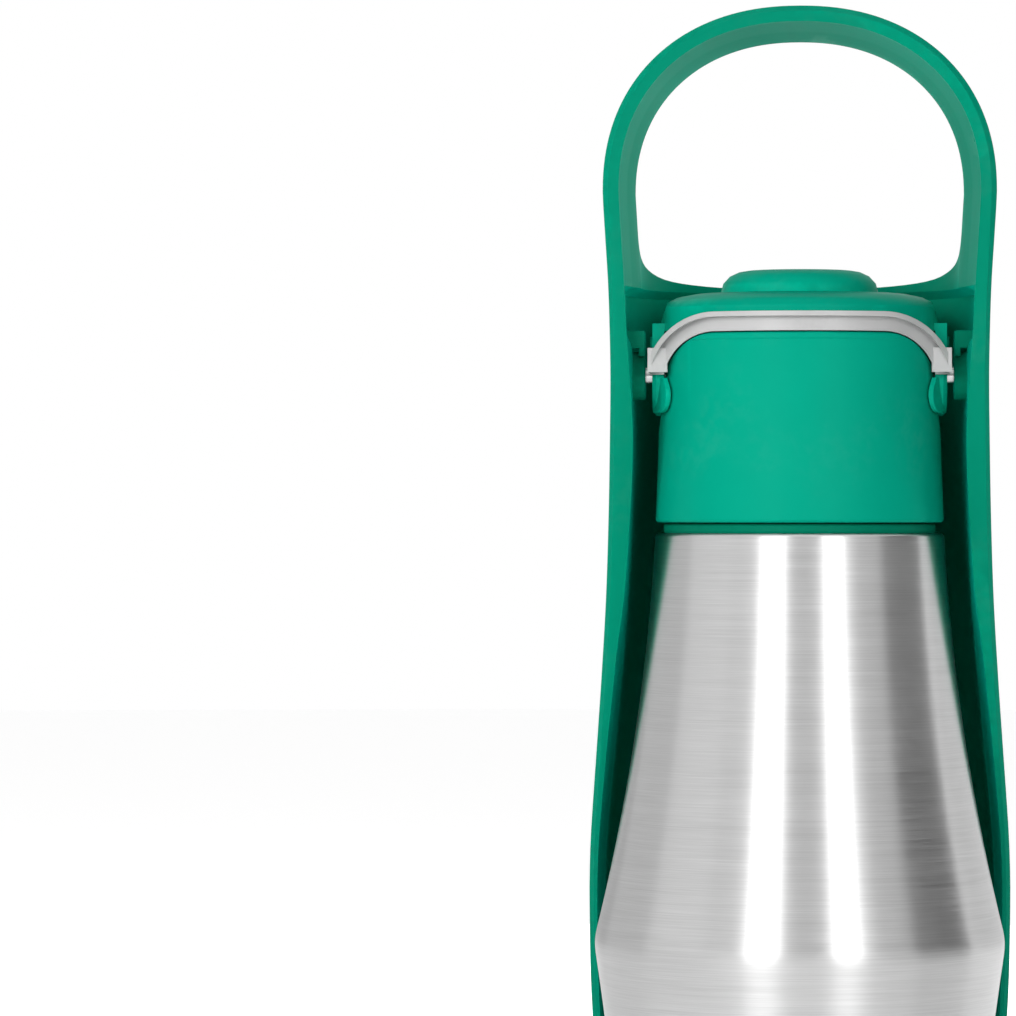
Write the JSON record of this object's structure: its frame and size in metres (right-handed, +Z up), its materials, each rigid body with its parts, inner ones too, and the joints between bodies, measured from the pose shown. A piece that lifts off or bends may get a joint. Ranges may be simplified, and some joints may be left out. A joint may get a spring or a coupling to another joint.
{
  "type": "travel water bottle",
  "caption": "Steel travel water bottle for a dog, with a screw collar, a flip lid with a sealed outlet, and a long folding drinking trough that ends in a carry loop.",
  "frame": {"origin": "centre of the foot pad's underside, on the bottle's axis", "axes": "+Z up along the bottle, -Y towards the trough, +Y towards the side where the lid opens, X along the hinge pins"},
  "size_m": [0.0784, 0.0907, 0.27],
  "materials": {
    "steel_outer": "brushed round the axis",
    "steel_inner": "satin",
    "pin_steel": "turned",
    "trough_green": "satin, finely grained",
    "body_green": "satin, finely grained",
    "ring_green": "matte",
    "silicone": "translucent satin",
    "foot_rubber": "matte"
  },
  "bodies": {
    "bottle": {"outer_shell": "steel_outer", "shell_base": "steel_outer", "base_pad": "foot_rubber", "inner_liner": "steel_inner", "liner_base": "steel_inner", "neck_ring": "ring_green"},
    "washer": {"cap_washer": "silicone"},
    "collar": {"collar": "body_green", "pivot_pin_left": "pin_steel", "pivot_pin_right": "pin_steel"},
    "lid": {"lid": "body_green", "lid_seal": "silicone", "outlet_stopper": "silicone", "stopper_screw": "pin_steel"},
    "trough": {"trough": "trough_green"}
  },
  "joints": [
    {"name": "cap_lift", "type": "slide", "parent": "bottle", "child": "washer", "axis": [0, 0, 1], "range_m": [0, 0.00605]},
    {"name": "cap_turn", "type": "hinge", "parent": "washer", "child": "collar", "pos_m": [0, 0, 0.2035], "axis": [0, 0, 1], "range_deg": [0, 540]},
    {"name": "trough_hinge", "type": "hinge", "parent": "collar", "child": "trough", "pos_m": [0, 0.002, 0.2035], "axis": [-1, 0, 0], "range_deg": [0, 140]},
    {"name": "lid_hinge", "type": "hinge", "parent": "collar", "child": "lid", "pos_m": [0, 0.002, 0.2035], "axis": [1, 0, 0], "range_deg": [0, 48]}
  ],
  "couplings": [
    {"joint": "cap_lift", "follows": "cap_turn", "m_per_rad": 0.00063662}
  ]
}
